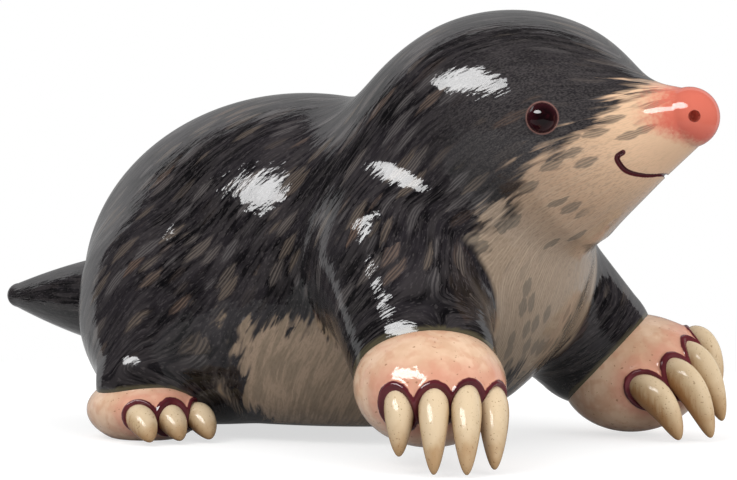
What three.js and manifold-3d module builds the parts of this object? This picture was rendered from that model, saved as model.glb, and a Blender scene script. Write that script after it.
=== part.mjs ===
// Mole figurine: a hollow slip-cast earthenware mole, glazed and painted by hand.
// The coat casting holds the trunk, head, haunches and the sleeves of the forelegs.
// Into it are seated the tail, four paws and two glass eye beads, and each paw holds its row of claws.
// Millimetres, +X towards the nose, +Y towards the mole's left, +Z up, the floor at Z = 0.

import * as THREE from 'three';
import { mergeVertices } from 'three/addons/utils/BufferGeometryUtils.js';
import Module from 'manifold-3d';

const wasm = await Module();
wasm.setup();

// Casting
const wallThickness = 5;
const hollowEndX = 70.4;
const seatClearance = 0.3;
const ventDiameter = 9;
const ventX = -7.6;
const bellyFloorZ = 2.6;
const bellyFloorBlend = 7;

// Trunk, chest and head masses
const trunkX = -5;
const trunkZ = 28.7;
const trunkLength = 102.4;
const trunkWidth = 60;
const trunkHeight = 77;
const chestX = 30.6;
const chestZ = 38.8;
const chestLength = 54.9;
const chestWidth = 57;
const chestHeight = 63.8;
const headX = 44.5;
const headZ = 59.7;
const headLength = 53.2;
const headWidth = 50;
const headHeight = 41.8;
const jawX = 58.4;
const jawZ = 54.2;
const jawRadius = 16.4;
const noseX = 82.6;
const noseZ = 59.9;
const noseRadius = 4.6;
const neckBlend = 7;

// Forelegs: the left paw points ahead and leans on its inner side, and the right one is turned out
const shoulderX = 33.4;
const shoulderY = 20;
const shoulderZ = 33;
const shoulderRadius = 15;
const cuffRadius = 12.7;
const leftCuffX = 43.3;
const leftCuffY = 31.2;
const leftCuffZ = 18.2;
const leftForepawX = 51.6;
const leftForepawY = 34.2;
const leftForepawZ = 12;
const leftForepawLength = 29.6;
const leftForepawWidth = 26.4;
const leftForepawHeight = 22;
const leftForepawYaw = 0;
const leftForepawLean = 28;
const rightCuffX = 46.2;
const rightCuffY = 30.8;
const rightCuffZ = 17.7;
const rightForepawX = 50.4;
const rightForepawY = 34.9;
const rightForepawZ = 13.3;
const rightForepawLength = 30;
const rightForepawWidth = 26.4;
const rightForepawHeight = 20.8;
const rightForepawYaw = 56;
const rightForepawLean = 0;
const leanPivot = 6.5;
const clawFloorGap = 0.42;

// Haunches and hind feet
const haunchX = -21.5;
const haunchY = 15;
const haunchZ = 23.5;
const haunchLength = 46.5;
const haunchWidth = 36;
const haunchHeight = 44;
const hindpawX = -21;
const hindpawY = 27.8;
const hindpawZ = 5.4;
const hindpawLength = 26.4;
const hindpawWidth = 21.4;
const hindpawHeight = 13.2;
const hindpawYaw = 25;
const hindCuffLift = 4.4;
const hindCuffRadius = 9.2;
const limbBlend = 6;

// Fore claws, counted from the inner side of the paw, placed by shares of its length, width and height
const foreClawWidth = 5.1;
const foreClawDepth = 6.4;
const foreClaws = [
  { forward: 0.165, inward: 0.405, reach: 0.36, root: 0.565, tip: 0.04 },
  { forward: 0.3, inward: 0.23, reach: 0.37, root: 0.6, tip: 0.02 },
  { forward: 0.32, inward: 0.027, reach: 0.34, root: 0.61, tip: 0.02 },
  { forward: 0.3, inward: -0.19, reach: 0.235, root: 0.595, tip: 0.14 },
];

// Hind claws
const hindClawWidth = 5.3;
const hindClawDepth = 5.4;
const hindClawRoot = 8.8;
const hindClawReach = 8.5;
const hindClawRootZ = 5.2;
const hindClawTipZ = 0.9;
const hindClawPitch = 6;

// Raised cuticles round the claw roots
const cuticleWidth = 0.9;
const cuticleRise = 0.5;

// Tail, eyes, nostrils and smile
const tailRootX = -50.6;
const tailRootZ = 25.2;
const tailRootRadius = 10;
const tailTipX = -83.3;
const tailTipZ = 25.8;
const tailTipRadius = 2.7;
const eyeDiameter = 5.3;
const eyeX = 62.65;
const eyeZ = 59.1;
const eyeStandOut = 0.42;
const nostrilDiameter = 1.7;
const nostrilDepth = 2.6;
const nostrilYaw = 53;
const nostrilPitch = -1;
const mouthWidth = 1.1;
const mouthCorner = { x: 72.2, y: 9.3, z: 52.4 };
const mouthDip = { x: 73.7, y: 5.7, z: 49.6 };
const mouthMiddle = { x: 76.2, y: 0, z: 49.6 };

// Fineness of the cast surface, and how far its lattice stands clear of it
const coatCell = 5.2;
const noseCellShare = 0.4;
const cavityCell = 8;
const fineFromX = 64.4;
const latticeMargin = 8;

const v = (x, y, z) => new THREE.Vector3(x, y, z);
const radians = THREE.MathUtils.degToRad;
const sides = [['left', 1], ['right', -1]];

const leftForeleg = {
  cuff: v(leftCuffX, leftCuffY, leftCuffZ),
  paw: v(leftForepawX, leftForepawY, leftForepawZ),
  size: v(leftForepawLength, leftForepawWidth, leftForepawHeight),
  yaw: leftForepawYaw,
  lean: leftForepawLean,
};
const rightForeleg = {
  cuff: v(rightCuffX, -rightCuffY, rightCuffZ),
  paw: v(rightForepawX, -rightForepawY, rightForepawZ),
  size: v(rightForepawLength, rightForepawWidth, rightForepawHeight),
  yaw: -rightForepawYaw,
  lean: -rightForepawLean,
};
const foreleg = (side) => (side > 0 ? leftForeleg : rightForeleg);

// Distances to the masses of the mole, negative inside them

function ellipsoidDistance(p, centre, size) {
  const r = size.clone().multiplyScalar(0.5);
  const q = p.clone().sub(centre).divide(r);
  const inner = q.length();
  const outer = q.divide(r).length();
  return outer === 0 ? -Math.min(r.x, r.y, r.z) : (inner * (inner - 1)) / outer;
}

function taperedDistance(p, from, to, fromRadius, toRadius) {
  const axis = to.clone().sub(from);
  const share = THREE.MathUtils.clamp(p.clone().sub(from).dot(axis) / axis.lengthSq(), 0, 1);
  const nearest = from.clone().addScaledVector(axis, share);
  return p.distanceTo(nearest) - THREE.MathUtils.lerp(fromRadius, toRadius, share);
}

function blended(a, b, width) {
  const h = Math.max(width - Math.abs(a - b), 0) / width;
  return Math.min(a, b) - (h * h * width) / 4;
}

function trunkDistance(p) {
  const trunk = ellipsoidDistance(p, v(trunkX, 0, trunkZ), v(trunkLength, trunkWidth, trunkHeight));
  const chest = ellipsoidDistance(p, v(chestX, 0, chestZ), v(chestLength, chestWidth, chestHeight));
  const head = ellipsoidDistance(p, v(headX, 0, headZ), v(headLength, headWidth, headHeight));
  const muzzle = taperedDistance(p, v(jawX, 0, jawZ), v(noseX, 0, noseZ), jawRadius, noseRadius);
  const body = [chest, head, muzzle].reduce((a, b) => blended(a, b, neckBlend), trunk);
  return -blended(-body, p.z - bellyFloorZ, bellyFloorBlend);
}

function limbDistance(p, side) {
  const sleeve = taperedDistance(
    p,
    v(shoulderX, side * shoulderY, shoulderZ),
    foreleg(side).cuff,
    shoulderRadius,
    cuffRadius,
  );
  const haunch = ellipsoidDistance(
    p,
    v(haunchX, side * haunchY, haunchZ),
    v(haunchLength, haunchWidth, haunchHeight),
  );
  const hindCuff = taperedDistance(
    p,
    v(haunchX, side * haunchY, haunchZ),
    v(hindpawX, side * hindpawY, hindpawZ + hindCuffLift),
    haunchWidth / 2,
    hindCuffRadius,
  );
  const leg = blended(haunch, hindCuff, limbBlend);
  return Math.min(sleeve, -blended(-leg, p.z - bellyFloorZ, bellyFloorBlend));
}

function coatDistance(p) {
  const oneSide = blended(trunkDistance(p), limbDistance(p, 1), limbBlend);
  return blended(oneSide, limbDistance(p, -1), limbBlend);
}

function outwards(p, distance) {
  const h = 0.05;
  const rise = (step) => distance(p.clone().add(step)) - distance(p.clone().sub(step));
  return v(rise(v(h, 0, 0)), rise(v(0, h, 0)), rise(v(0, 0, h))).divideScalar(2 * h);
}

function ontoSurface(start, distance, steps) {
  const p = start.clone();
  for (let n = 0; n < steps; n++) {
    const slope = outwards(p, distance);
    p.addScaledVector(slope, -distance(p) / Math.max(slope.lengthSq(), 0.2));
  }
  return p;
}

// A closed skin over a distance, laid on a lattice that grows finer towards the nose

function skin(distance, cell) {
  const backX = trunkX - trunkLength / 2 - latticeMargin;
  const frontX = noseX + noseRadius + latticeMargin;
  const cuffReach = Math.max(leftCuffY, rightCuffY) + cuffRadius;
  const hipReach = Math.max(haunchY + haunchWidth / 2, hindpawY + hindCuffRadius);
  const halfWidth = Math.max(cuffReach, hipReach, trunkWidth / 2) + latticeMargin;
  const topZ = Math.max(headZ + headHeight / 2, trunkZ + trunkHeight / 2);
  const fullHeight = topZ + 2 * latticeMargin;
  const columns = [];
  for (let x = backX; x < frontX;) {
    const nosewards = THREE.MathUtils.smoothstep(x, fineFromX, noseX);
    const size = cell * THREE.MathUtils.lerp(1, noseCellShare, nosewards);
    columns.push({ x, size, z: THREE.MathUtils.lerp(topZ / 2, noseZ, nosewards) });
    x += size;
  }
  const nx = columns.length;
  const ny = 2 * Math.ceil(halfWidth / cell) + 1;
  const nz = 2 * Math.ceil(fullHeight / 2 / cell) + 1;
  const node = (i, j, k) => {
    const { x, size, z } = columns[i];
    return v(x, (j - (ny - 1) / 2) * size, z + (k - (nz - 1) / 2) * size);
  };
  const index = (i, j, k) => (i * ny + j) * nz + k;
  const values = new Float64Array(nx * ny * nz);
  for (let i = 0; i < nx; i++) {
    for (let j = 0; j < ny; j++) {
      for (let k = 0; k < nz; k++) values[index(i, j, k)] = distance(node(i, j, k));
    }
  }

  const corners = [];
  for (let n = 0; n < 8; n++) corners.push([n & 1, (n >> 1) & 1, n >> 2]);
  const edges = [];
  corners.forEach((a, m) => {
    corners.slice(m + 1).forEach((b) => {
      const apart = Math.abs(a[0] - b[0]) + Math.abs(a[1] - b[1]) + Math.abs(a[2] - b[2]);
      if (apart === 1) edges.push([a, b]);
    });
  });

  const points = [];
  const pointOfCell = new Map();
  for (let i = 0; i < nx - 1; i++) {
    for (let j = 0; j < ny - 1; j++) {
      for (let k = 0; k < nz - 1; k++) {
        const crossings = [];
        for (const [a, b] of edges) {
          const fa = values[index(i + a[0], j + a[1], k + a[2])];
          const fb = values[index(i + b[0], j + b[1], k + b[2])];
          if (fa < 0 === fb < 0) continue;
          const end = node(i + b[0], j + b[1], k + b[2]);
          crossings.push(node(i + a[0], j + a[1], k + a[2]).lerp(end, fa / (fa - fb)));
        }
        if (crossings.length === 0) continue;
        const middle = crossings.reduce((sum, c) => sum.add(c), v(0, 0, 0));
        middle.divideScalar(crossings.length);
        pointOfCell.set(index(i, j, k), points.length);
        points.push(ontoSurface(middle, distance, 3));
      }
    }
  }

  const faces = [];
  const steps = [[1, 0, 0], [0, 1, 0], [0, 0, 1]];
  const addQuad = (a, b, c, d) => {
    const cutAC = points[a].distanceTo(points[c]) < points[b].distanceTo(points[d]);
    faces.push(...(cutAC ? [a, b, c, a, c, d] : [a, b, d, b, c, d]));
  };
  for (let i = 1; i < nx - 1; i++) {
    for (let j = 1; j < ny - 1; j++) {
      for (let k = 1; k < nz - 1; k++) {
        steps.forEach((step, n) => {
          const fa = values[index(i, j, k)];
          const fb = values[index(i + step[0], j + step[1], k + step[2])];
          if (fa < 0 === fb < 0) return;
          const u = steps[(n + 1) % 3];
          const w = steps[(n + 2) % 3];
          const cellPoint = (a, b) => pointOfCell.get(
            index(i - a * u[0] - b * w[0], j - a * u[1] - b * w[1], k - a * u[2] - b * w[2]),
          );
          const ring = [cellPoint(1, 1), cellPoint(0, 1), cellPoint(0, 0), cellPoint(1, 0)];
          if (fa > 0) ring.reverse();
          addQuad(...ring);
        });
      }
    }
  }
  const geometry = new THREE.BufferGeometry().setFromPoints(points);
  geometry.setIndex(faces);
  return geometry;
}

// Closed shapes become solids for seating, and seated solids become meshes

function solidOf(geometry) {
  const bare = new THREE.BufferGeometry();
  bare.setAttribute('position', geometry.getAttribute('position'));
  bare.setIndex(geometry.index);
  const merged = mergeVertices(bare, 1e-4);
  return new wasm.Manifold(new wasm.Mesh({
    numProp: 3,
    vertProperties: merged.attributes.position.array,
    triVerts: new Uint32Array(merged.index.array),
  }));
}

const figurine = new THREE.Group();

function addPiece(name, solid, material) {
  const { vertProperties, triVerts } = solid.getMesh();
  const geometry = new THREE.BufferGeometry();
  geometry.setAttribute('position', new THREE.BufferAttribute(vertProperties, 3));
  geometry.setIndex(new THREE.BufferAttribute(triVerts, 1));
  const mesh = new THREE.Mesh(geometry, material);
  mesh.name = name;
  figurine.add(mesh);
}

const coatGlaze = new THREE.MeshStandardMaterial({ color: 0x37353a, roughness: 0.25, metalness: 0 });
const fleshGlaze = new THREE.MeshStandardMaterial({ color: 0xdcb393, roughness: 0.25, metalness: 0 });
const hornGlaze = new THREE.MeshStandardMaterial({ color: 0xd8c79c, roughness: 0.25, metalness: 0 });
const eyeGlass = new THREE.MeshStandardMaterial({ color: 0x2a0d10, roughness: 0.05, metalness: 0 });

// An oval section swept along a line, its size following the swell

function sweptOval(line, across, swell, width, depth, grow, around, along) {
  const points = [line.getPoint(0).addScaledVector(line.getTangent(0), -grow)];
  for (let m = 1; m < along; m++) {
    const t = 0.5 - Math.cos((Math.PI * m) / along) / 2;
    const ahead = line.getTangent(t);
    const level = across.clone().addScaledVector(ahead, -across.dot(ahead)).normalize();
    const up = ahead.clone().cross(level);
    for (let n = 0; n < around; n++) {
      const angle = (2 * Math.PI * n) / around;
      points.push(line.getPoint(t)
        .addScaledVector(level, Math.cos(angle) * ((width / 2) * swell(t) + grow))
        .addScaledVector(up, Math.sin(angle) * ((depth / 2) * swell(t) + grow)));
    }
  }
  points.push(line.getPoint(1).addScaledVector(line.getTangent(1), grow));
  const faces = [];
  const last = points.length - 1;
  for (let n = 0; n < around; n++) {
    const next = (n + 1) % around;
    faces.push(0, 1 + next, 1 + n);
    faces.push(last, last - around + n, last - around + next);
    for (let m = 0; m < along - 2; m++) {
      const a = 1 + m * around;
      faces.push(a + n, a + next, a + around + next, a + n, a + around + next, a + around + n);
    }
  }
  const geometry = new THREE.BufferGeometry().setFromPoints(points);
  geometry.setIndex(faces);
  return solidOf(geometry);
}

// A claw: an almond of horn bent down from its root to a blunt tip

function horn(root, bend, tip, width, depth, grow) {
  const line = new THREE.QuadraticBezierCurve3(root, bend, tip);
  const across = v(0, 0, 1).cross(tip.clone().sub(root)).normalize();
  const swell = (t) => Math.sqrt(Math.sin(Math.PI * t ** 0.8));
  return sweptOval(line, across, swell, width, depth, grow, 10, 7);
}

// A paw: a flattened ball, leaned on its inner side and turned by its yaw

function paw(centre, size, yaw, lean, grow) {
  const ball = new THREE.SphereGeometry(1, 18, 11);
  ball.rotateX(Math.PI / 2);
  ball.scale(size.x / 2 + grow, size.y / 2 + grow, size.z / 2 + grow);
  ball.rotateX(radians(lean));
  ball.rotateZ(radians(yaw));
  ball.translate(centre.x, centre.y, centre.z);
  return solidOf(ball);
}

function floorBlock() {
  const breadth = 4 * trunkLength;
  const depth = trunkHeight / 2;
  const block = new THREE.BoxGeometry(breadth, breadth, depth);
  block.translate(0, 0, -depth / 2);
  return solidOf(block);
}

// A point of a paw: forward along its yaw, inward towards the mole's middle, and at a height

function pawPoint(centre, yaw, side, forward, inward, z) {
  const turned = v(forward, -side * inward, 0).applyAxisAngle(v(0, 0, 1), radians(yaw));
  return v(centre.x + turned.x, centre.y + turned.y, z);
}

const coatSkin = skin(coatDistance, coatCell);
const hollow = skin((p) => Math.max(trunkDistance(p) + wallThickness, p.x - hollowEndX), cavityCell);
let coat = solidOf(coatSkin).subtract(solidOf(hollow));
const floor = floorBlock();

// A paw with its raised cuticles, drilled for its claws, and the seat it needs in the coat

function addPaw(label, name, ball, claws) {
  const fleshed = (grow) => claws.reduce(
    (flesh, claw) => flesh.add(
      claw(seatClearance + cuticleWidth + grow).intersect(ball(cuticleRise + grow))),
    ball(grow),
  );
  const drilled = claws.reduce((flesh, claw) => flesh.subtract(claw(seatClearance)), fleshed(0));
  addPiece(`${label}paw_${name}`, drilled.subtract(floor), fleshGlaze);
  claws.forEach((claw, n) => {
    addPiece(`${label}_claw_${name}_${n + 1}`, claw(0).subtract(floor), hornGlaze);
  });
  coat = coat.subtract(fleshed(seatClearance));
}

for (const [name, side] of sides) {
  const { paw: centre, size, yaw, lean } = foreleg(side);
  addPaw('fore', name, (grow) => paw(centre, size, yaw, lean, grow), foreClaws.map((claw) => {
    const rise = Math.tan(radians(side * lean)) * (leanPivot - claw.inward * size.y);
    const at = (share, height) => pawPoint(
      centre, yaw, side,
      (claw.forward + claw.reach * share) * size.x,
      claw.inward * size.y,
      Math.max(height * size.z + rise, clawFloorGap),
    );
    const line = [at(0, claw.root), at(0.65, claw.root), at(1, claw.tip)];
    return (grow) => horn(...line, foreClawWidth, foreClawDepth, grow);
  }));

  const hindCentre = v(hindpawX, side * hindpawY, hindpawZ);
  const hindSize = v(hindpawLength, hindpawWidth, hindpawHeight);
  const hindYaw = side * hindpawYaw;
  addPaw('hind', name, (grow) => paw(hindCentre, hindSize, hindYaw, 0, grow), [1, 0, -1].map((place) => {
    const at = (share, z) => pawPoint(
      hindCentre, hindYaw, side, hindClawRoot + hindClawReach * share, place * hindClawPitch, z);
    const line = [at(0, hindClawRootZ), at(0.6, hindClawRootZ), at(1, hindClawTipZ)];
    return (grow) => horn(...line, hindClawWidth, hindClawDepth, grow);
  }));
}

// The tail: a blunt cone on a shallow seat in the rump

function tail(grow) {
  const from = v(tailRootX, 0, tailRootZ);
  const to = v(tailTipX, 0, tailTipZ);
  const line = (t) => from.clone().lerp(to, t);
  const profile = [new THREE.Vector2(0, 0), new THREE.Vector2(tailRootRadius + grow, 0)];
  const length = from.distanceTo(to);
  for (let n = 1; n < 6; n++) {
    const t = n / 6;
    const radius = THREE.MathUtils.lerp(tailRootRadius, tailTipRadius, t ** 1.4);
    profile.push(new THREE.Vector2(radius + grow, t * length));
  }
  for (let n = 0; n < 4; n++) {
    const angle = (Math.PI / 2) * (n / 4);
    const r = (tailTipRadius + grow);
    profile.push(new THREE.Vector2(r * Math.cos(angle), length + r * Math.sin(angle)));
  }
  profile.push(new THREE.Vector2(0, length + tailTipRadius + grow));
  const cone = new THREE.LatheGeometry(profile, 20);
  cone.applyQuaternion(new THREE.Quaternion().setFromUnitVectors(
    v(0, 1, 0), line(1).sub(line(0)).normalize()));
  cone.translate(from.x, from.y, from.z);
  return solidOf(cone);
}
addPiece('tail', tail(0), coatGlaze);
coat = coat.subtract(tail(seatClearance));

// The glass eye beads, each in a round socket

for (const [name, side] of sides) {
  const socket = v(eyeX, 0, eyeZ);
  while (coatDistance(socket) < 0) socket.y += side * 0.05;
  const centre = ontoSurface(socket, coatDistance, 3);
  const outward = outwards(centre, coatDistance).normalize();
  centre.addScaledVector(outward, eyeDiameter * (eyeStandOut - 0.5));
  const bead = (grow) => {
    const ball = new THREE.SphereGeometry(eyeDiameter / 2 + grow, 14, 10);
    ball.rotateX(Math.PI / 2);
    ball.translate(centre.x, centre.y, centre.z);
    return solidOf(ball);
  };
  addPiece(`eye_${name}`, bead(0), eyeGlass);
  coat = coat.subtract(bead(seatClearance));

  const yaw = radians(side * nostrilYaw);
  const pitch = radians(nostrilPitch);
  const sniff = v(Math.cos(pitch) * Math.cos(yaw), Math.cos(pitch) * Math.sin(yaw), Math.sin(pitch));
  const rim = ontoSurface(v(noseX, 0, noseZ).addScaledVector(sniff, noseRadius), coatDistance, 3);
  const pit = new THREE.SphereGeometry(1, 12, 8);
  pit.scale(nostrilDiameter / 2, nostrilDepth, nostrilDiameter / 2);
  pit.applyQuaternion(new THREE.Quaternion().setFromUnitVectors(v(0, 1, 0), sniff));
  pit.translate(rim.x, rim.y, rim.z);
  coat = coat.subtract(solidOf(pit));
}

// The smile, a shallow groove following the muzzle

const smile = [
  v(mouthCorner.x, mouthCorner.y, mouthCorner.z),
  v(mouthDip.x, mouthDip.y, mouthDip.z),
  v(mouthMiddle.x, mouthMiddle.y, mouthMiddle.z),
  v(mouthDip.x, -mouthDip.y, mouthDip.z),
  v(mouthCorner.x, -mouthCorner.y, mouthCorner.z),
];
const smileLine = new THREE.CatmullRomCurve3(
  new THREE.CatmullRomCurve3(smile).getPoints(16).map((p) => ontoSurface(p, coatDistance, 4)),
);
coat = coat.subtract(sweptOval(
  smileLine, v(1, 0, 0), () => 1, mouthWidth, mouthWidth, 0, 6, 18));

// The vent in the belly, through which the slip was poured out

const vent = new THREE.CylinderGeometry(ventDiameter / 2, ventDiameter / 2, 3 * wallThickness, 18);
vent.rotateX(Math.PI / 2);
vent.translate(ventX, 0, bellyFloorZ);
coat = coat.subtract(solidOf(vent));
addPiece('coat_casting', coat, coatGlaze);

// The middle of the footprint is the origin

const middle = new THREE.Box3().setFromObject(figurine).getCenter(v(0, 0, 0));
figurine.children.forEach((mesh) => mesh.geometry.translate(-middle.x, -middle.y, 0));

export default figurine;
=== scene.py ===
import math

import bmesh
import bpy
import numpy as np
from mathutils import Matrix, Vector
from mathutils.bvhtree import BVHTree


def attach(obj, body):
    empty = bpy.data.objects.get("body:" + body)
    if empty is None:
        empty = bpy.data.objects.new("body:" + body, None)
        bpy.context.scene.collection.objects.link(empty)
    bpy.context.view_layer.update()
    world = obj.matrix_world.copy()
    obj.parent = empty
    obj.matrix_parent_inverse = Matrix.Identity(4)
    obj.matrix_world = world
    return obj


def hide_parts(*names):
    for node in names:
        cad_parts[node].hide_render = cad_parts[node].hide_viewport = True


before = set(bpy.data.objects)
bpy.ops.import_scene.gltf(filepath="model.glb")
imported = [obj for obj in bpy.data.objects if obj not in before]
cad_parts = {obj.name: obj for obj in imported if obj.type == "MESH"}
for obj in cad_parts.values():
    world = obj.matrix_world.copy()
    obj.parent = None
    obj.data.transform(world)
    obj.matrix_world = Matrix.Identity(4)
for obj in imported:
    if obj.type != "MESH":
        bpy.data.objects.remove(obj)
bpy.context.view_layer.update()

# Camera
# A long lens stands level with the figurine, a little in front of its right side. Its focal
# length is in picture dots. The figurine's lengths are in millimetres, Blender's in metres.

mm = 0.001
scene = bpy.context.scene
scene.view_settings.view_transform = "Standard"

view_turn = math.radians(36)
view_distance = 400
aim = Vector((11.95, 2.65, 38))
sensor_width = 36
picture_width = 737
focal_length = 2060
towards_camera = Vector((math.sin(view_turn), -math.cos(view_turn), 0))

camera = bpy.data.objects.new("camera", bpy.data.cameras.new("camera"))
camera.data.sensor_fit = "HORIZONTAL"
camera.data.sensor_width = sensor_width
camera.data.lens = sensor_width * focal_length / picture_width
camera.location = (aim + towards_camera * view_distance) * mm
camera.rotation_mode = "QUATERNION"
camera.rotation_quaternion = (-towards_camera).to_track_quat("-Z", "Y")
camera.data.clip_start = 0.01
camera.data.clip_end = 50
scene.collection.objects.link(camera)
scene.camera = camera


# Studio
# The figurine lies on a white table in front of a white backdrop. A softbox hangs at the left
# of the camera, a window lights its right side, and the room behind the camera is dim.


class Wash:
    """A value or colour on its way through a material. Sums on washes add nodes."""

    def __init__(self, tree, socket=None):
        self.tree = tree
        self.socket = socket

    def through(self, kind, settings=None, sockets=None, out=0):
        """Adds a node of another kind, its settings first and its sockets after."""
        node = self.tree.nodes.new(kind)
        for name, value in (settings or {}).items():
            if name == "stops":
                ramp = node.color_ramp
                while len(ramp.elements) < len(value):
                    ramp.elements.new(0.5)
                for element, (position, colour) in zip(ramp.elements, value):
                    element.position = position
                    element.color = colour
            else:
                setattr(node, name, value)
        for name, value in (sockets or {}).items():
            if isinstance(value, Wash):
                self.tree.links.new(value.socket, node.inputs[name])
            else:
                node.inputs[name].default_value = value
        return Wash(self.tree, node.outputs[out] if node.outputs else None)

    def beside(self, out):
        """Another output of the node that this one comes from."""
        return Wash(self.tree, self.socket.node.outputs[out])

    def sum(self, operation, *values):
        return self.through("ShaderNodeMath", {"operation": operation}, dict(enumerate(values)))

    def __add__(self, other):
        return self.sum("ADD", self, other)

    __radd__ = __add__

    def __sub__(self, other):
        return self.sum("SUBTRACT", self, other)

    def __rsub__(self, other):
        return self.sum("SUBTRACT", other, self)

    def __mul__(self, other):
        return self.sum("MULTIPLY", self, other)

    __rmul__ = __mul__

    def most(self, other):
        return self.sum("MAXIMUM", self, other)

    def rise(self, low, high):
        """0 at low and 1 at high, with soft ends; high may be the lesser."""
        sockets = {"Value": self, "From Min": low, "From Max": high}
        return self.through("ShaderNodeMapRange", {"interpolation_type": "SMOOTHSTEP"}, sockets)

    def between(self, under, over):
        """The colour under where this is 0, and over where it is 1."""
        sockets = {0: self, 6: under, 7: over}
        return self.through("ShaderNodeMix", {"data_type": "RGBA"}, sockets, 2)


def linear(red, green, blue):
    """A paint colour, given in 0 to 255 steps, as Blender's sockets take it."""
    steps = [step / 255 for step in (red, green, blue)]
    light = [c / 12.92 if c <= 0.04045 else ((c + 0.055) / 1.055) ** 2.4 for c in steps]
    return (*light, 1.0)


table_reach = 220
table_drop = 0.02

table_mesh = bpy.data.meshes.new("table")
sheet = bmesh.new()
bmesh.ops.create_grid(
    sheet, x_segments=1, y_segments=1, size=table_reach * mm,
    matrix=Matrix.Translation((0, 0, -table_drop * mm)))
sheet.to_mesh(table_mesh)
sheet.free()
table = bpy.data.objects.new("table", table_mesh)
scene.collection.objects.link(table)

white = (1, 1, 1, 1)
table_paint = bpy.data.materials.new("table_paint")
table_paint.use_nodes = True
table_paint.node_tree.nodes.clear()
start = Wash(table_paint.node_tree)
seen = start.through("ShaderNodeLightPath")
mirrored = seen.beside("Is Glossy Ray").most(seen.beside("Is Transmission Ray"))
cloth = start.through("ShaderNodeBsdfDiffuse", None, {"Color": linear(172, 172, 172)})
glow = start.through("ShaderNodeEmission", None, {"Color": white, "Strength": 0.66})
bright = start.through("ShaderNodeAddShader", None, {0: cloth, 1: glow})
surface = start.through("ShaderNodeMixShader", None, {0: seen.most(mirrored * 0.12), 1: cloth, 2: bright})
start.through("ShaderNodeOutputMaterial", None, {"Surface": surface})
table_mesh.materials.append(table_paint)

room_light = 0.95
dim_room = 0.06
backdrop_light = 1.0

scene.world = bpy.data.worlds.new("room")
scene.world.use_nodes = True
scene.world.node_tree.nodes.clear()
start = Wash(scene.world.node_tree)
seen = start.through("ShaderNodeLightPath")
mirrored = seen.beside("Is Glossy Ray").most(seen.beside("Is Transmission Ray"))
walls, room, backdrop = (
    start.through("ShaderNodeBackground", None, {"Color": white, "Strength": strength})
    for strength in (room_light, dim_room, backdrop_light))
facing = start.through("ShaderNodeTexCoord", out="Generated")
behind = start.through(
    "ShaderNodeVectorMath", {"operation": "DOT_PRODUCT"}, {0: facing, 1: -towards_camera}, "Value")
lit = behind.rise(0.5, 0.515) * (0.9 - behind.rise(0.5, 1.0) * 0.6)
gloss = start.through("ShaderNodeMixShader", None, {0: lit, 1: room, 2: backdrop})
around = start.through("ShaderNodeMixShader", None, {0: mirrored, 1: walls, 2: gloss})
around = start.through("ShaderNodeMixShader", None, {0: seen, 1: around, 2: backdrop})
start.through("ShaderNodeOutputWorld", None, {"Surface": around})


def hang_softbox(name, towards, distance, width, height, watts):
    lamp = bpy.data.objects.new(name, bpy.data.lights.new(name, "AREA"))
    lamp.data.shape = "ELLIPSE"
    lamp.data.size = width
    lamp.data.size_y = height
    lamp.data.energy = watts
    direction = Vector(towards).normalized()
    lamp.location = aim * mm + direction * distance
    lamp.rotation_mode = "QUATERNION"
    lamp.rotation_quaternion = direction.to_track_quat("Z", "Y")
    scene.collection.objects.link(lamp)
    return lamp


softbox_place = (-0.12, -0.74, 0.69)
hang_softbox("softbox", softbox_place, 0.8, 0.54, 0.34, 1.7)
sparkle = hang_softbox("sparkle", softbox_place, 0.82, 0.84, 0.34, 13.5)
sparkle.visible_diffuse = False
window = hang_softbox("window", (0.92, -0.25, 0.3), 0.9, 0.7, 0.9, 3.5)
window.visible_glossy = False


# Coat casting, as it leaves the mould
# A hollow slip-cast earthenware body: trunk, head and muzzle, haunches and the sleeves
# of the forelegs. The masses are luted together and the joins are rubbed smooth.

floor_height = 2.6
floor_rounding = 7
neck_rounding = 7
limb_rounding = 6
skin_step = 1.7

trunk = ((-5, 0, 28.7), (102.4, 60, 77))
chest = ((30.6, 0, 38.8), (54.9, 57, 63.8))
head = ((44.5, 0, 59.7), (53.2, 50, 41.4))
muzzle = ((58.4, 0, 54.2), (81.3, 0, 59.4), 16.2, 5.35)
shoulder = (33.37, 20, 33)
cuffs = {1: (43.3, 31.2, 18.2), -1: (46.2, 30.8, 17.7)}
shoulder_radius = 15
cuff_radius = 12.7
haunch = (-21.5, 15, 23.5)
haunch_size = (46.5, 36, 44)
hind_cuff = (-21, 27.8, 9.8)
hind_cuff_radius = 9.2


def spheroid(points, centre, size):
    radii = np.array(size) / 2
    q = (points - np.array(centre)) / radii
    inner = np.linalg.norm(q, axis=1)
    outer = np.linalg.norm(q / radii, axis=1)
    return inner * (inner - 1) / np.maximum(outer, 1e-9)


def tapered(points, start, end, start_radius, end_radius):
    axis = np.array(end, float) - np.array(start)
    share = np.clip((points - np.array(start)) @ axis / (axis @ axis), 0, 1)
    nearest = np.array(start) + share[:, None] * axis
    radius = start_radius + (end_radius - start_radius) * share
    return np.linalg.norm(points - nearest, axis=1) - radius


def blended(a, b, width):
    h = np.maximum(width - np.abs(a - b), 0) / width
    return np.minimum(a, b) - h * h * width / 4


def above_floor(form, points):
    return -blended(-form, points[:, 2] - floor_height, floor_rounding)


def mirrored_point(point, side):
    return (point[0], side * point[1], point[2])


def trunk_form(points):
    form = spheroid(points, *trunk)
    for more in (spheroid(points, *chest), spheroid(points, *head), tapered(points, *muzzle)):
        form = blended(form, more, neck_rounding)
    return above_floor(form, points)


def sleeve_form(points, side):
    ends = mirrored_point(shoulder, side), mirrored_point(cuffs[side], side)
    return tapered(points, *ends, shoulder_radius, cuff_radius)


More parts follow.
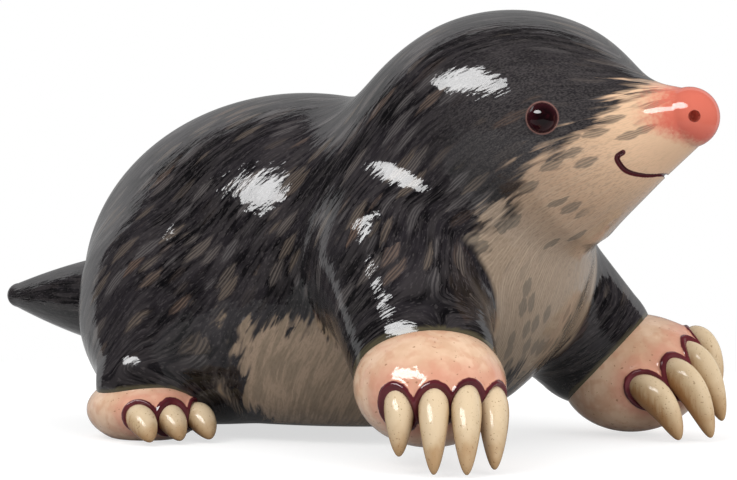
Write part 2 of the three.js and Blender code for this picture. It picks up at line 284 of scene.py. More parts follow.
def haunch_form(points, side):
    hip = mirrored_point(haunch, side)
    leg = tapered(points, hip, mirrored_point(hind_cuff, side), haunch_size[1] / 2, hind_cuff_radius)
    return above_floor(blended(spheroid(points, hip, haunch_size), leg, limb_rounding), points)


def limb_form(points, side):
    return np.minimum(sleeve_form(points, side), haunch_form(points, side))


def casting_form(points):
    form = blended(trunk_form(points), limb_form(points, 1), limb_rounding)
    return blended(form, limb_form(points, -1), limb_rounding)


def slope_of(form, points, here):
    step = 0.02
    return np.stack([form(points + axis) - here for axis in np.eye(3) * step], axis=1) / step


def unit(vectors):
    return vectors / np.maximum(np.linalg.norm(vectors, axis=1), 1e-9)[:, None]


def rubbed_onto(form, points, rounds):
    for _ in range(rounds):
        here = form(points)
        slope = slope_of(form, points, here)
        points = points - (here / np.maximum((slope**2).sum(1), 0.2))[:, None] * slope
    return points


def points_of(mesh):
    flat = np.empty(len(mesh.vertices) * 3, np.float32)
    mesh.vertices.foreach_get("co", flat)
    return flat.reshape(-1, 3).astype(float) / mm


def set_points(mesh, points):
    mesh.vertices.foreach_set("co", (points * mm).astype(np.float32).ravel())
    mesh.update()


def finished(piece):
    """The piece's mesh with its modifiers worked in."""
    seen_through = bpy.context.evaluated_depsgraph_get()
    made = bpy.data.meshes.new_from_object(piece.evaluated_get(seen_through))
    piece.modifiers.clear()
    old = piece.data
    piece.data = made
    bpy.data.meshes.remove(old)
    made.name = piece.name
    return made


def new_piece(name, clay):
    mesh = bpy.data.meshes.new(name)
    clay.to_mesh(mesh)
    clay.free()
    piece = bpy.data.objects.new(name, mesh)
    scene.collection.objects.link(piece)
    return piece


def press_ball(clay, centre, size):
    place = Matrix.Translation(Vector(centre) * mm) @ Matrix.Diagonal((*(Vector(size) * mm), 1))
    bmesh.ops.create_uvsphere(clay, u_segments=28, v_segments=18, radius=0.5, matrix=place)


def press_taper(clay, start, end, start_radius, end_radius):
    press_ball(clay, start, [2 * start_radius] * 3)
    press_ball(clay, end, [2 * end_radius] * 3)
    along = Vector(end) - Vector(start)
    turn = along.to_track_quat("Z", "Y").to_matrix().to_4x4()
    place = Matrix.Translation((Vector(start) + along / 2) * mm) @ turn
    bmesh.ops.create_cone(
        clay, cap_ends=True, segments=48, radius1=start_radius * mm, radius2=end_radius * mm,
        depth=along.length * mm, matrix=place)


clay = bmesh.new()
for mass in (trunk, chest, head):
    press_ball(clay, *mass)
press_taper(clay, *muzzle)
for side in (1, -1):
    press_taper(
        clay, mirrored_point(shoulder, side), mirrored_point(cuffs[side], side),
        shoulder_radius, cuff_radius)
    press_ball(clay, mirrored_point(haunch, side), haunch_size)
    press_taper(
        clay, mirrored_point(haunch, side), mirrored_point(hind_cuff, side),
        haunch_size[1] / 2, hind_cuff_radius)

coat = new_piece("coat_glazed", clay)
mould = coat.modifiers.new("mould", "REMESH")
mould.mode = "VOXEL"
mould.voxel_size = skin_step * mm
finished(coat)

for finer in (1, 0):
    set_points(coat.data, rubbed_onto(casting_form, points_of(coat.data), 3))
    clay = bmesh.new()
    clay.from_mesh(coat.data)
    if finer:
        bmesh.ops.subdivide_edges(clay, edges=clay.edges, cuts=1, use_grid_fill=True)
    bmesh.ops.smooth_vert(
        clay, verts=clay.verts, factor=0.5, use_axis_x=True, use_axis_y=True, use_axis_z=True)
    clay.to_mesh(coat.data)
    clay.free()
set_points(coat.data, rubbed_onto(casting_form, points_of(coat.data), 3))


# Tail
# A blunt cone of the same clay, rolled by hand and luted to the rump.

tail_root = Vector((-50.63, 0, 25.2))
tail_tip = Vector((-83.3, 0, 25.8))
tail_root_radius = 10
tail_tip_radius = 2.7
tail_taper = 1.4
seat_gap = 0.04


def roll_tail(grow):
    clay = bmesh.new()
    along = tail_tip - tail_root
    length = along.length
    profile = [(0, 0), (tail_root_radius + grow, 0)]
    for n in range(1, 14):
        share = n / 14
        radius = tail_root_radius + (tail_tip_radius - tail_root_radius) * share**tail_taper
        profile.append((radius + grow, share * length))
    for n in range(8):
        turn = math.pi / 2 * n / 8
        reach = tail_tip_radius + grow
        profile.append((reach * math.cos(turn), length + reach * math.sin(turn)))
    profile.append((0, length + tail_tip_radius + grow))
    line = [clay.verts.new((r * mm, 0, z * mm)) for r, z in profile]
    edges = [clay.edges.new(pair) for pair in zip(line, line[1:])]
    bmesh.ops.spin(
        clay, geom=line + edges, cent=(0, 0, 0), axis=(0, 0, 1), angle=2 * math.pi, steps=72,
        use_merge=True)
    bmesh.ops.remove_doubles(clay, verts=clay.verts, dist=0.01 * mm)
    bmesh.ops.recalc_face_normals(clay, faces=clay.faces)
    turn = along.to_track_quat("Z", "Y").to_matrix().to_4x4()
    bmesh.ops.transform(clay, matrix=Matrix.Translation(tail_root * mm) @ turn, verts=clay.verts)
    return clay


def smooth_with_edges(piece, sharper_than=40):
    clay = bmesh.new()
    clay.from_mesh(piece.data)
    for face in clay.faces:
        face.smooth = True
    for edge in clay.edges:
        edge.smooth = edge.calc_face_angle(0) < math.radians(sharper_than)
    clay.to_mesh(piece.data)
    clay.free()


tools = [new_piece("tail_tool", roll_tail(seat_gap))]
tail = new_piece("tail_glazed", roll_tail(0))
smooth_with_edges(tail)
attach(tail, "root")
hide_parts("tail")


# Eye beads
# Dark maroon glass beads, pressed into round sockets once the body is glazed.

eye_diameter = 5.3
eye_stand_out = 0.42
eye_place = (62.65, 59.1)


def blow_bead(centre, outward, grow):
    clay = bmesh.new()
    radius = eye_diameter / 2 + grow
    line = []
    for n in range(33):
        turn = math.pi * n / 32
        line.append(clay.verts.new((radius * math.sin(turn) * mm, 0, radius * math.cos(turn) * mm)))
    edges = [clay.edges.new(pair) for pair in zip(line, line[1:])]
    bmesh.ops.spin(
        clay, geom=line + edges, cent=(0, 0, 0), axis=(0, 0, 1), angle=2 * math.pi, steps=48,
        use_merge=True)
    bmesh.ops.remove_doubles(clay, verts=clay.verts, dist=0.01 * mm)
    bmesh.ops.recalc_face_normals(clay, faces=clay.faces)
    turn = Vector(outward).to_track_quat("Z", "Y").to_matrix().to_4x4()
    bmesh.ops.transform(clay, matrix=Matrix.Translation(Vector(centre) * mm) @ turn, verts=clay.verts)
    return clay


def note(piece, name, values):
    """Keeps a number for each point of a piece, for its paint."""
    held = piece.data.attributes.new(name, "FLOAT", "POINT")
    held.data.foreach_set("value", np.asarray(values, np.float32))


def number(start, name):
    return start.through("ShaderNodeAttribute", {"attribute_name": name}, out="Fac")


def stretched(vector, by):
    return vector.through("ShaderNodeVectorMath", {"operation": "MULTIPLY"}, {0: vector, 1: by})


def grain(vector, by, detail=2.0, roughness=0.5):
    sockets = {"Vector": stretched(vector, by), "Scale": 1.0, "Detail": detail, "Roughness": roughness}
    return vector.through("ShaderNodeTexNoise", None, sockets)


def new_paint(name):
    paint = bpy.data.materials.new(name)
    paint.use_nodes = True
    paint.node_tree.nodes.clear()
    return paint, Wash(paint.node_tree)


def fire(start, colour, roughness, height, relief, settings=None):
    """Glazes a colour; relief is the height of the brush marks in millimetres."""
    sockets = {"Height": height, "Strength": 1.0, "Distance": relief * mm}
    sockets = {"Normal": start.through("ShaderNodeBump", None, sockets)}
    sockets.update({"Base Color": colour, "Roughness": roughness}, **(settings or {}))
    surface = start.through("ShaderNodeBsdfPrincipled", None, sockets)
    start.through("ShaderNodeOutputMaterial", None, {"Surface": surface})


eye_paint, start = new_paint("maroon_glass")
pupil = number(start, "off_axis")
cloud = grain(start.through("ShaderNodeTexCoord", out="Object"), (900, 900, 900), 3)
colour = pupil.rise(0.35, 1.1).between(linear(16, 5, 7), linear(44, 13, 19))
colour = (cloud.rise(0.5, 0.7) * 0.5).between(colour, linear(44, 10, 16))
fire(start, colour, 0.03, cloud, 0.002, {"IOR": 1.35})

eyes = []
eye_centres = []
for name, side in (("left", 1), ("right", -1)):
    reach = np.linspace(0, 30, 3001)
    probe = np.stack([0 * reach + eye_place[0], side * reach, 0 * reach + eye_place[1]], axis=1)
    rim = probe[np.argmax(casting_form(probe) > 0)][None]
    outward = slope_of(casting_form, rim, casting_form(rim))[0]
    outward = outward / np.linalg.norm(outward)
    centre = rim[0] + outward * eye_diameter * (eye_stand_out - 0.5)
    eye_centres.append(centre)
    tools.append(new_piece("socket_tool_" + name, blow_bead(centre, outward, seat_gap)))
    eye = new_piece("eye_bead_" + name, blow_bead(centre, outward, 0))
    height = (points_of(eye.data) - centre) @ outward / (eye_diameter / 2)
    note(eye, "off_axis", np.arccos(np.clip(height, -1, 1)))
    smooth_with_edges(eye)
    eye.data.materials.append(eye_paint)
    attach(eye, "root")
    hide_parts("eye_" + name)
    eyes.append(eye)


# Paws and claws
# Each paw is a flattened ball of clay, and those of the hind feet have a flat sole. The
# claws are almonds of clay, and the flesh is rolled up round each of them in a thin bead.

claw_swell = 0.8
bead_width = 0.45
bead_rise = 0.5
bead_softness = 0.42
flesh_rise = 0.35
flesh_reach = 2.6


def turned_out(clay):
    """Faces of a closed shape turned outwards."""
    bmesh.ops.recalc_face_normals(clay, faces=clay.faces)
    if clay.calc_volume(signed=True) < 0:
        bmesh.ops.reverse_faces(clay, faces=clay.faces)


def roll_claw(root, bend, tip, width, depth, grow):
    clay = bmesh.new()
    bmesh.ops.create_uvsphere(clay, u_segments=28, v_segments=24, radius=1)
    root, bend, tip = Vector(root), Vector(bend), Vector(tip)
    across = Vector((0, 0, 1)).cross(tip - root).normalized()
    for point in clay.verts:
        share = min(max((1 + point.co.z) / 2, 0), 1)
        spot = root * (1 - share) ** 2 + bend * 2 * share * (1 - share) + tip * share**2
        ahead = ((bend - root) * (1 - share) + (tip - bend) * share).normalized()
        level = (across - ahead * across.dot(ahead)).normalized()
        up = ahead.cross(level)
        swell = math.sqrt(max(math.sin(math.pi * share**claw_swell), 0))
        ring = math.hypot(point.co.x, point.co.y)
        if ring < 1e-6:
            point.co = (spot + ahead * (grow if share > 0.5 else -grow)) * mm
            continue
        point.co = (
            spot
            + level * (point.co.x / ring * (width / 2 * swell + grow))
            + up * (point.co.y / ring * (depth / 2 * swell + grow))
        ) * mm
    turned_out(clay)
    return clay


def paint_horn(claw, line):
    """Notes how far along a claw each point is, and how far round from its underside."""
    root, bend, tip = (np.array(p, float) for p in line[:3])
    share = np.linspace(0, 1, 65)[:, None]
    spots = root * (1 - share) ** 2 + bend * 2 * share * (1 - share) + tip * share**2
    ahead = unit((bend - root) * (1 - share) + (tip - bend) * share)
    points = points_of(claw.data)
    nearest = np.argmin(np.linalg.norm(points[:, None] - spots, axis=2), axis=1)
    level = unit(np.cross([0, 0, 1], tip - root)[None])
    up = unit(np.cross(ahead, level))
    note(claw, "along", share[nearest, 0])
    note(claw, "topside", (unit(points - spots[nearest]) * up[nearest]).sum(1))
    claw.data.materials.append(horn_paint)


def gaps_to(points, clay):
    """How far each point lies outside a closed shape, negative inside it."""
    tree = BVHTree.FromBMesh(clay)
    gaps = np.empty(len(points))
    for n, point in enumerate(points):
        spot, normal, _, gap = tree.find_nearest(Vector(point) * mm)
        gaps[n] = gap / mm if (Vector(point) * mm - spot).dot(normal) > 0 else -gap / mm
    return gaps


def shape_paw(centre, size, yaw, lean, claws, grow):
    clay = bmesh.new()
    bmesh.ops.create_uvsphere(clay, u_segments=96, v_segments=64, radius=0.5)
    turn = Matrix.Rotation(yaw, 4, "Z") @ Matrix.Rotation(lean, 4, "X")
    swell = Matrix.Diagonal((*(Vector(size) * mm), 1))
    place = Matrix.Translation(Vector(centre) * mm) @ turn @ swell
    bmesh.ops.transform(clay, matrix=place, verts=clay.verts)
    horns = [roll_claw(*claw, 0) for claw in claws]
    for _ in range(2):
        points = np.array([point.co for point in clay.verts]) / mm
        near = np.min([gaps_to(points, horn) for horn in horns], axis=0)
        rolled = [e for e in clay.edges if -1.2 < sum(near[v.index] for v in e.verts) / 2 < 2.4]
        bmesh.ops.subdivide_edges(clay, edges=rolled, cuts=1, use_grid_fill=True)
        clay.verts.index_update()
    points = np.array([point.co for point in clay.verts]) / mm
    radii = np.array(size) / 2
    turn = np.array(turn.to_3x3())
    local = (points - np.array(centre)) @ turn
    local = local / np.linalg.norm(local / radii, axis=1)[:, None]
    outward = local / radii**2
    outward = outward / np.linalg.norm(outward, axis=1)[:, None] @ turn.T
    points = np.array(centre) + local @ turn.T
    gaps = np.min([gaps_to(points, horn) for horn in horns], axis=0)
    rise = bead_rise * np.exp(-(((gaps - bead_width) / bead_softness) ** 2))
    rise = rise + flesh_rise * np.exp(-((np.maximum(gaps, 0) / flesh_reach) ** 2))
    points = points + outward * (rise + grow)[:, None]
    points[:, 2] = np.maximum(points[:, 2], 0)
    for point, place in zip(clay.verts, points):
        point.co = Vector(place) * mm
    for horn in horns:
        horn.free()
    return clay, gaps


def cut(piece, tools):
    """Takes the tools' shapes out of a piece."""
    for tool in tools:
        knife = piece.modifiers.new("cut", "BOOLEAN")
        knife.operation = "DIFFERENCE"
        knife.solver = "MANIFOLD"
        knife.object = tool
    finished(piece)
    piece.data.materials.clear()
    for tool in tools:
        mesh = tool.data
        bpy.data.objects.remove(tool)
        bpy.data.meshes.remove(mesh)


def paw_point(centre, yaw, forward, inward, height, side):
    x = centre[0] + forward * math.cos(yaw) + inward * math.sin(yaw)
    y = centre[1] + forward * math.sin(yaw) - inward * math.cos(yaw)
    return (x, side * y, height)


forepaw_centres = {1: (51.6, 34.2, 12), -1: (50.4, 34.9, 13.3)}
forepaw_sizes = {1: (29.6, 26, 22), -1: (30, 26, 20.8)}
forepaw_yaws = {1: 0, -1: math.radians(56)}
forepaw_leans = {1: math.radians(28), -1: 0}
lean_pivot = 6.5
claw_floor_gap = 0.42
fore_claw_size = (5.1, 6.4)
fore_claws = (
    (0.165, 0.405, 0.36, 0.565, 0.04),
    (0.3, 0.23, 0.37, 0.6, 0.02),
    (0.32, 0.027, 0.34, 0.61, 0.02),
    (0.3, -0.19, 0.235, 0.595, 0.14),
)

hindpaw_centre = (-21, 27.8, 5.4)
hindpaw_size = (26.4, 21.4, 13.2)
hindpaw_yaw = math.radians(25)
hind_claw_size = (5.3, 5.4)
hind_claw_root = 8.8
hind_claw_reach = 8.5
hind_claw_curve = ((0, 5.2), (0.6, 5.2), (1, 0.9))
hind_claws = (6, 0, -6)


def fore_claw_lines(side):
    """Root, bend and tip of each claw, placed by shares of the paw's length, width and height."""
    lines = []
    centre, yaw = forepaw_centres[side], forepaw_yaws[side]
    length, width, height = forepaw_sizes[side]
    for forward, inward, reach, root, tip in fore_claws:
        rise = math.tan(forepaw_leans[side]) * (lean_pivot - inward * width)
        lines.append([
            paw_point(
                centre, yaw, (forward + reach * far) * length, inward * width,
                max(up * height + rise, claw_floor_gap), side)
            for far, up in ((0, root), (0.65, root), (1, tip))
        ] + list(fore_claw_size))
    return lines


def hind_claw_lines(side):
    lines = []
    for inward in hind_claws:
        lines.append([
            paw_point(
                hindpaw_centre, hindpaw_yaw, hind_claw_root + reach * hind_claw_reach, inward,
                height, side)
            for reach, height in hind_claw_curve
        ] + list(hind_claw_size))
    return lines


horn_paint, start = new_paint("ivory_horn")
body = start.through("ShaderNodeTexCoord", out="Object")
topside = number(start, "topside")
along = number(start, "along")
cloud = grain(body, (420, 420, 300), 3)
speck = grain(body, (2600, 2600, 2600), 1)
brushed = grain(body, (1500, 1500, 260), 2)
# Each claw is painted lighter on its top and brown on its underside: painted light and painted shade,
# chosen by which way the surface faces. The browner tips and the flecks are the claws' own colour.
colour = (topside + (cloud - 0.5) * 0.7).rise(0.25, 0.95)
colour = colour.between(linear(190, 164, 129), linear(212, 190, 158))
colour = (topside + (brushed - 0.5) * 1.2).rise(0.5, -0.5).between(colour, linear(158, 116, 76))
colour = ((along + (cloud - 0.5) * 0.4).rise(0.66, 1.0) * 0.8).between(colour, linear(168, 130, 88))
colour = (speck.rise(0.66, 0.74) * 0.6).between(colour, linear(128, 92, 58))
fire(start, colour, 0.12, brushed, 0.02, {"IOR": 1.28})

flesh_paint, start = new_paint("peach_flesh")
body = start.through("ShaderNodeTexCoord", out="Object")
gap = number(start, "claw_gap")
cloud = grain(body, (150, 150, 150), 3)
blotch = grain(body, (420, 420, 420), 2)
speck = grain(body, (1500, 1500, 1500), 1)
wobble = (grain(body, (700, 700, 700), 2) - 0.5) * 0.5
colour = cloud.rise(0.35, 0.65).between(linear(208, 170, 141), linear(226, 194, 166))
colour = (blotch.rise(0.45, 0.65) * 0.5).between(colour, linear(202, 152, 124))
colour = ((gap + wobble * 4).rise(5.0, 1.0) * 0.6).between(colour, linear(208, 138, 118))
colour = (speck.rise(0.7, 0.76) * 0.7).between(colour, linear(150, 104, 72))
rolled = (gap + wobble).rise(0.95, 0.75)
bead = cloud.rise(0.3, 0.7).between(linear(74, 26, 34), linear(104, 44, 50))
colour = rolled.between(colour, bead)
fire(start, colour, rolled * -0.04 + 0.1, blotch, 0.14, {"IOR": 1.4})

paws = []
claws = []
for name, side in (("left", 1), ("right", -1)):
    for label, centre, size, yaw, lean, lines in (
        ("fore", forepaw_centres[side], forepaw_sizes[side], forepaw_yaws[side], forepaw_leans[side],
            fore_claw_lines(side)),
        ("hind", hindpaw_centre, hindpaw_size, hindpaw_yaw, 0, hind_claw_lines(side)),
    ):
        place = mirrored_point(centre, side)
        for n, line in enumerate(lines):
            claw = new_piece(f"{label}_claw_glazed_{name}_{n + 1}", roll_claw(*line, 0))
            smooth_with_edges(claw)
            paint_horn(claw, line)
            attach(claw, "root")
            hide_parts(f"{label}_claw_{name}_{n + 1}")
            claws.append(claw)
        shaped, gaps = shape_paw(place, size, side * yaw, side * lean, lines, 0)
        paw = new_piece(f"{label}paw_glazed_{name}", shaped)
        note(paw, "claw_gap", gaps)
        smooth_with_edges(paw)
        paw.data.materials.append(flesh_paint)
        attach(paw, "root")
        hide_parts(f"{label}paw_{name}")
        paws.append(paw)
        shaped, _ = shape_paw(place, size, side * yaw, side * lean, lines, seat_gap)
        tools.append(new_piece(f"{label}paw_tool_{name}", shaped))


# Pits and grooves of the coat
# The sockets, nostrils, smile and pouring vent are cut with loop tools in the soft clay.

nostril_yaw = math.radians(53)
nostril_pitch = math.radians(-1)
nostril_size = (2, 2, 5.2)
smile_width = 0.8
vent_diameter = 9
vent_depth = 15
vent_x = -7.63
nose_start = 69

nostril_rims = []
for side in (1, -1):
    sniff = np.array([
        math.cos(nostril_pitch) * math.cos(nostril_yaw),
        side * math.cos(nostril_pitch) * math.sin(nostril_yaw),
        math.sin(nostril_pitch),
    ])
    rim = rubbed_onto(casting_form, (np.array(muzzle[1]) + sniff * muzzle[3])[None], 4)[0]
    nostril_rims.append(rim)
    clay = bmesh.new()
    bmesh.ops.create_uvsphere(clay, u_segments=32, v_segments=24, radius=0.5)
    turn = Vector(sniff).to_track_quat("Z", "Y").to_matrix().to_4x4()
    swell = Matrix.Diagonal((*(Vector(nostril_size) * mm), 1))
    place = Matrix.Translation(Vector(rim) * mm) @ turn @ swell
    bmesh.ops.transform(clay, matrix=place, verts=clay.verts)
    tools.append(new_piece(f"nostril_tool_{side}", clay))

smile_points = [
    (73.1, 8.9, 53.2), (72.2, 9.3, 52.4), (72.3, 8.6, 51.2), (73, 7, 49.9), (74.6, 4.2, 49.3),
    (76.2, 0, 49.6)]
smile_points = smile_points + [mirrored_point(p, -1) for p in reversed(smile_points[:-1])]


def through_points(points, steps):
    """An even curve through a row of points."""
    points = np.array(points, float)
    padded = np.vstack([2 * points[0] - points[1], points, 2 * points[-1] - points[-2]])
    line = []
    for n in range(len(points) - 1):
        a, b, c, d = padded[n : n + 4]
        for t in np.arange(steps) / steps:
            line.append(
                b + 0.5 * t * (c - a + t * (2 * a - 5 * b + 4 * c - d + t * (3 * (b - c) + d - a))))
    line.append(points[-1])
    return np.array(line)


smile_line = rubbed_onto(casting_form, through_points(smile_points, 8), 4)
groove = bpy.data.curves.new("smile_groove", "CURVE")
groove.dimensions = "3D"
groove.bevel_depth = smile_width / 2 * mm
groove.bevel_resolution = 3
groove.use_fill_caps = True
spline = groove.splines.new("POLY")
spline.points.add(len(smile_line) - 1)
for held, place in zip(spline.points, smile_line):
    held.co = (*(Vector(place) * mm), 1)
groove_rod = bpy.data.objects.new("smile_rod", groove)
scene.collection.objects.link(groove_rod)
groove_seen = groove_rod.evaluated_get(bpy.context.evaluated_depsgraph_get())
clay = bmesh.new()
clay.from_mesh(bpy.data.meshes.new_from_object(groove_seen))
bmesh.ops.remove_doubles(clay, verts=clay.verts, dist=0.001 * mm)
bmesh.ops.recalc_face_normals(clay, faces=clay.faces)
tools.append(new_piece("smile_tool", clay))
bpy.data.objects.remove(groove_rod)

clay = bmesh.new()
bmesh.ops.create_cone(
    clay, cap_ends=True, segments=48, radius1=vent_diameter / 2 * mm, radius2=vent_diameter / 2 * mm,
    depth=vent_depth * mm, matrix=Matrix.Translation(Vector((vent_x, 0, floor_height)) * mm))
tools.append(new_piece("vent_tool", clay))

clay = bmesh.new()
clay.from_mesh(coat.data)
nose_edges = [e for e in clay.edges if min(v.co.x for v in e.verts) > nose_start * mm]
bmesh.ops.subdivide_edges(clay, edges=nose_edges, cuts=1, use_grid_fill=True)
clay.to_mesh(coat.data)
clay.free()
set_points(coat.data, rubbed_onto(casting_form, points_of(coat.data), 1))
cut(coat, tools)
smooth_with_edges(coat)
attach(coat, "root")
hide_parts("coat_casting")


# Hair, combed in the wet underglaze
# The painter's strokes run back from the nose, down the flanks and sleeves, and round the
# cuffs. The throat, belly and nose are laid over them, and one clear gloss glaze over all.

points = points_of(coat.data)
slope = slope_of(casting_form, points, casting_form(points))
outward = slope / np.linalg.norm(slope, axis=1)[:, None]


def eased(values, low, high):
    share = np.clip((values - low) / (high - low), 0, 1)
    return share * share * (3 - 2 * share)


nose_parting = np.array([92.0, 0, 60])
x, y, z = points.T
sides = np.where(y < 0, -1.0, 1.0)
lay = unit(points - nose_parting)
lay[:, 2] -= 0.15 + 0.35 * eased(x, 75, 45) + 0.8 * eased(x, 48, 18)
lay = unit(lay)

trunk_gap = trunk_form(points)
sleeve_gap = np.where(y < 0, sleeve_form(points, -1), sleeve_form(points, 1))
sleeve_share = eased(trunk_gap - sleeve_gap, -1.5, 3.0)
sleeve_lay = np.stack([np.full(len(points), -0.25), 0.1 * sides, np.full(len(points), -1.0)], axis=1)
sleeve_lay = unit(sleeve_lay)
lay = lay * (1 - sleeve_share)[:, None] + sleeve_lay * sleeve_share[:, None]


def paw_form(points, centre, size, yaw, lean, side):
    turn = np.array(Matrix.Rotation(side * yaw, 3, "Z") @ Matrix.Rotation(side * lean, 3, "X"))
    return spheroid((points - np.array(mirrored_point(centre, side))) @ turn, (0, 0, 0), size)


paw_gap = np.full(len(points), 50.0)
for side in (1, -1):
    forepaw = forepaw_centres[side], forepaw_sizes[side], forepaw_yaws[side], forepaw_leans[side]
    hindpaw = hindpaw_centre, hindpaw_size, hindpaw_yaw, 0
    for shape, start, end, reach in (
        (forepaw, shoulder, cuffs[side], 7.0), (hindpaw, haunch, hind_cuff, 5.0),
    ):
        gap = paw_form(points, *shape, side)
        paw_gap = np.minimum(paw_gap, gap)
        axis = np.array(mirrored_point(end, side), float) - np.array(mirrored_point(start, side))
        axis = axis / np.linalg.norm(axis)
        round_cuff = np.cross(axis[None], outward)
        round_cuff = unit(round_cuff) * np.where(round_cuff[:, 2] > 0, -1.0, 1.0)[:, None]
        share = eased(gap, reach, 0.35 * reach)[:, None]
        lay = lay * (1 - share) + round_cuff * share

lay = unit(lay - outward * (lay * outward).sum(1)[:, None])
crosswise = np.cross(outward, lay) * sides[:, None]

edge_ends = np.empty(len(coat.data.edges) * 2, np.int32)
coat.data.edges.foreach_get("vertices", edge_ends)
one, other = edge_ends.reshape(-1, 2).T
apart = points[other] - points[one]
count = len(points)
degree = np.bincount(one, minlength=count) + np.bincount(other, minlength=count)


def combed(field, guess, rounds):
    """A length measured over the skin whose rise follows the field as closely as it can."""
    wanted = 0.5 * ((field[one] + field[other]) * apart).sum(1)

    def pull(values):
        return (
            degree * values
            - np.bincount(one, values[other], count)
            - np.bincount(other, values[one], count)
        )

    aim = np.bincount(other, wanted, count) - np.bincount(one, wanted, count)
    values = guess.copy()
    rest = aim - pull(values)
    scaled = rest / degree
    step = scaled.copy()
    power = rest @ scaled
    for _ in range(rounds):
        pulled = pull(step)
        share = power / (step @ pulled)
        values = values + share * step
        rest = rest - share * pulled
        scaled = rest / degree
        new_power = rest @ scaled
        step = scaled + new_power / power * step
        power = new_power
    return values


across = combed(crosswise, -z, 250)
along = combed(lay, -x, 250)
held = coat.data.attributes.new("comb", "FLOAT_VECTOR", "POINT")
held.data.foreach_set("vector", np.stack([across, along, y * 0.6], axis=1).astype(np.float32).ravel())

border = np.array([
    (-20, 45), (20, 46), (29, 47), (38, 49.5), (45, 53.8), (49.3, 59), (53.6, 64.5), (57.9, 68.6),
    (60.1, 71), (65.3, 74), (90, 79)])
throat_edge = x - np.interp(z, border[:, 0], border[:, 1])
belly_edge = np.minimum(np.minimum(23 - z, x - 1.5), 40 - x)
note(coat, "throat_edge", throat_edge)
note(coat, "belly_edge", belly_edge)
note(coat, "sleeve_edge", trunk_gap - sleeve_gap)
note(coat, "paw_gap", paw_gap)
for name, places, radius in (
    ("eye_gap", eye_centres, eye_diameter / 2),
    ("nostril_gap", nostril_rims, 0),
    ("smile_gap", smile_line, 0),
):
    nearest = np.min([np.linalg.norm(points - spot, axis=1) for spot in places], axis=0)
    note(coat, name, nearest - radius)
note(coat, "nose_edge", x - 78 - 1.7 * np.maximum(0, 58 - z))
note(coat, "muzzle", x + 0.5 * (z - 50))

line_spacing = 0.42
cuff_green = linear(84, 78, 60)

coat_paint, start = new_paint("charcoal_hair")
body = start.through("ShaderNodeTexCoord", out="Object")
hair = start.through("ShaderNodeAttribute", {"attribute_name": "comb"}, out="Vector")
drift = start.through("ShaderNodeTexNoise", None, {"Vector": body, "Scale": 45.0, "Detail": 1.0}, "Color")
drift = start.through(
    "ShaderNodeVectorMath", {"operation": "SUBTRACT"}, {0: drift, 1: (0.5, 0.5, 0.5)})
hair = start.through(
    "ShaderNodeVectorMath", {"operation": "ADD"}, {0: hair, 1: stretched(drift, (3, 3, 0))})
bristle = grain(hair, (2.0, 0.11, 0.2), 1)
fine = grain(hair, (5.0, 0.9, 0.9))
tuft = grain(hair, (0.7, 0.12, 0.2))
ridge = grain(hair, (0.8, 0.2, 0.3), 3)
fuzz = grain(hair, (6, 2.2, 2.2))
tone = grain(body, (60, 60, 60))
across_hair = start.through("ShaderNodeSeparateXYZ", None, {"Vector": hair})
lines = (across_hair + (bristle - 0.5) * 0.35) * (2 * math.pi / line_spacing)
lines = lines.sum("SINE", lines)


def dabs(by, dimensions="3D"):
    """Distance from the middle of each brush dab, in dab sizes."""
    settings = {"voronoi_dimensions": dimensions, "distance": "MINKOWSKI"}
    sockets = {"Vector": stretched(hair, by), "Scale": 1.0, "Exponent": 1.4}
    return start.through("ShaderNodeTexVoronoi", settings, sockets)


# The dark coat: bristles and fine hair, fuzz near the eyes, and dabs drawn in lines.
dab = dabs((0.55, 0.12, 0.15))
pick = start.through("ShaderNodeSeparateColor", None, {"Color": dab.beside("Color")})
leaf = (dab + lines * 0.05 + (fine - 0.5) * 0.3).rise(0.56, 0.42)
colour = (tone + (ridge - 0.5) * 0.9).rise(0.3, 0.7).between(linear(9, 8, 10), linear(37, 34, 37))
colour = ((bristle + tuft * 0.6).rise(0.7, 1.0) * 0.5).between(colour, linear(64, 60, 61))
colour = (fine.rise(0.55, 0.7) * 0.35).between(colour, linear(88, 83, 83))
head_share = number(start, "eye_gap").rise(22, 6)
fuzzy = fuzz.rise(0.35, 0.7).between(linear(40, 38, 40), linear(80, 76, 75))
colour = (head_share * (tone.rise(0.3, 0.6) * 0.3 + 0.3)).between(colour, fuzzy)
shade = pick.beside("Green").rise(0.35, 0.75).between(linear(86, 82, 82), linear(95, 85, 77))
shade = pick.beside("Blue").rise(0.8, 0.95).between(shade, linear(96, 80, 71))
drawn = (lines + (bristle - 0.5) * 2.5).rise(-0.8, 0.9) * 0.7 + 0.25
near_paw = number(start, "paw_gap").rise(9, 3)
dabbed = leaf * pick.rise(0.1, 0.5) * drawn * (1 - head_share * 0.45) * (1 - near_paw)
colour = dabbed.between(colour, shade)

# The cream throat and belly, with leaf-shaped strokes and a feathered border.
throat = number(start, "throat_edge")
sleeve = number(start, "sleeve_edge").rise(1.2, -0.8)
muzzle_share = number(start, "muzzle")
pale = muzzle_share.through(
    "ShaderNodeMapRange", None, {"Value": muzzle_share, "From Min": -10.0, "From Max": 85.0})
pale = pale.through("ShaderNodeValToRGB", {"stops": (
    (0.2, linear(150, 130, 111)), (0.48, linear(134, 118, 102)), (0.63, linear(150, 132, 115)),
    (0.76, linear(176, 147, 122)), (0.91, linear(218, 182, 150)))}, {"Fac": pale})
smoothness = muzzle_share.rise(66, 84)
fluff = 1 - smoothness * 0.9
pale = (fluff * fine.rise(0.55, 0.35) * 0.35).between(pale, linear(112, 98, 82))
belly_strokes = (bristle + tuft * 0.6).rise(0.7, 0.95) * muzzle_share.rise(60, 0) * 0.5
pale = belly_strokes.between(pale, linear(96, 85, 70))
light_strokes = fluff * (lines + (bristle - 0.5) * 6).rise(0.0, 1.6) * muzzle_share.rise(-30, 60)
pale = (light_strokes * 0.3).between(pale, linear(186, 168, 146))
leaves = dabs((0.5, 0.16, 0.2), "2D")
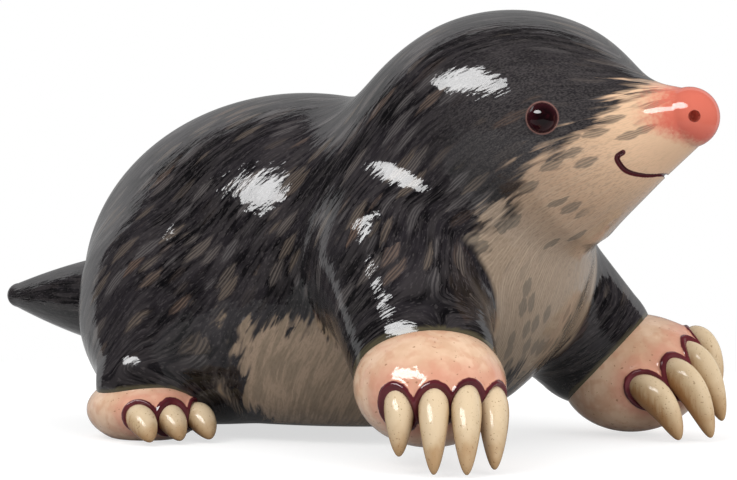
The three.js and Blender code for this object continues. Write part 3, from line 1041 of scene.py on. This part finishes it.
chosen = start.through("ShaderNodeSeparateColor", None, {"Color": leaves.beside("Color")})
leafed = (chosen * 19 - throat - 3).rise(0, 3) * throat.rise(-5, -1)
leafed = (leaves + lines * 0.03).rise(0.47, 0.37) * leafed
pale = (leafed * (lines * 0.15 + 0.6)).between(pale, linear(92, 86, 78))
ragged = (tuft - 0.5) * 14 + (bristle - 0.5) * 9 + (leaf - 0.5) * 2
mask = (throat + ragged).rise(-2.6, 2.6) * sleeve
mask = mask.most((number(start, "belly_edge") + ragged).rise(-1.6, 1.6) * sleeve)
colour = mask.between(colour, pale)

# The coral nose, the rims of the eyes, the smile, the nostrils and the cuffs.
speckle = grain(body, (1500, 1500, 1500))
coral = tone.rise(0.35, 0.65).between(linear(188, 86, 72), linear(204, 108, 90))
colour = (number(start, "nose_edge") + (speckle - 0.5) * 5).rise(-4.2, 3.2).between(colour, coral)
colour = (number(start, "eye_gap").rise(0.42, 0.1) * 0.7).between(colour, linear(150, 108, 100))
colour = number(start, "smile_gap").rise(0.58, 0.42).between(colour, linear(74, 28, 34))
colour = number(start, "nostril_gap").rise(1.15, 0.95).between(colour, linear(56, 18, 22))
cuff_gap = number(start, "paw_gap") + (bristle - 0.5) * 1.2
colour = (cuff_gap.rise(0.9, 0.3) * 0.8).between(colour, cuff_green)

height = (ridge + bristle * 0.08) * (1 - smoothness * mask)
fire(start, colour, 0.05, height, 0.15, {"IOR": 1.38})
coat.data.materials.append(coat_paint)

points = points_of(tail.data)
round_tail = np.arctan2(points[:, 1], points[:, 2] - 25) * tail_root_radius * 0.8
held = tail.data.attributes.new("comb", "FLOAT_VECTOR", "POINT")
held.data.foreach_set(
    "vector", np.stack([round_tail, -points[:, 0], points[:, 2]], axis=1).astype(np.float32).ravel())
far = 50
for name, value in (
    ("throat_edge", -far), ("belly_edge", -far), ("sleeve_edge", -far), ("nose_edge", -far),
    ("eye_gap", far), ("nostril_gap", far), ("smile_gap", far), ("paw_gap", 4), ("muzzle", 0),
):
    note(tail, name, np.full(len(points), value))
tail.data.materials.append(coat_paint)


# Footprint
# The pieces were shaped about the mole's own middle, and the origin is the middle of the
# rectangle that it stands on, so all of them move over together.

footprint_shift = (-0.215, 2.65, 0)
to_footprint = Matrix.Translation(Vector(footprint_shift) * mm)
for piece in (coat, tail, *eyes, *paws, *claws):
    piece.data.transform(to_footprint)
